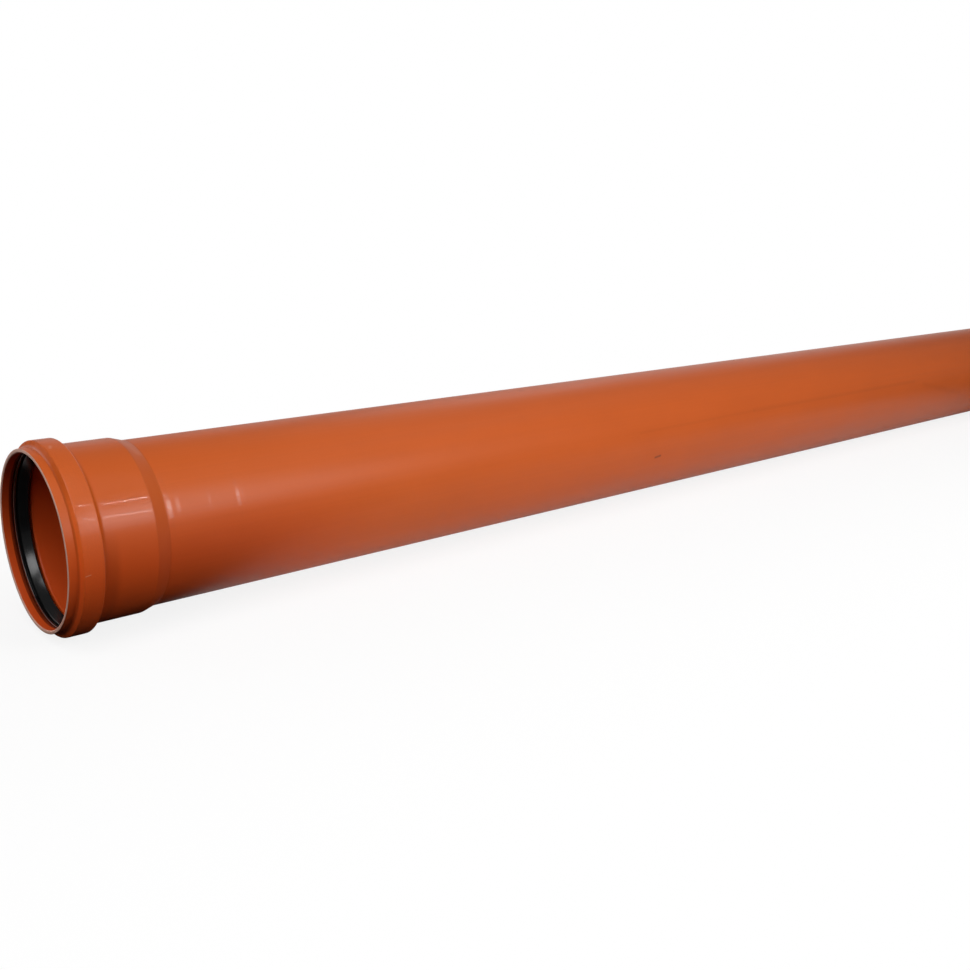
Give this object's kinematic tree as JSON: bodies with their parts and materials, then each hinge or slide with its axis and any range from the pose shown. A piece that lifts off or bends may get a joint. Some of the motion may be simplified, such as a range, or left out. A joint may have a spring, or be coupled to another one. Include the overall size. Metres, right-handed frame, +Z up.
{
  "type": "pvc sewer pipe",
  "caption": "Straight orange-brown plastic sewer pipe with a chamfered spigot end and a belled push-fit socket that holds a black rubber lip seal in its ring bead.",
  "frame": {"origin": "on the pipe's axis at the socket's stop, 80 mm inside the mouth, where the tip of the next pipe's spigot comes to rest: the laying length is counted from here", "axes": "+X along the pipe towards the spigot, so the mouth faces -X; +Z up as the pipe lies; +Y completes the right-handed frame"},
  "size_m": [2.08, 0.1808, 0.1808],
  "materials": {
    "pipe": "extruded, satin to gloss, orange-brown through and through",
    "seal": "moulded black rubber, slightly glossy on the lip"
  },
  "bodies": {
    "root": {"pipe": "pipe", "seal_ring": "seal"}
  },
  "joints": []
}
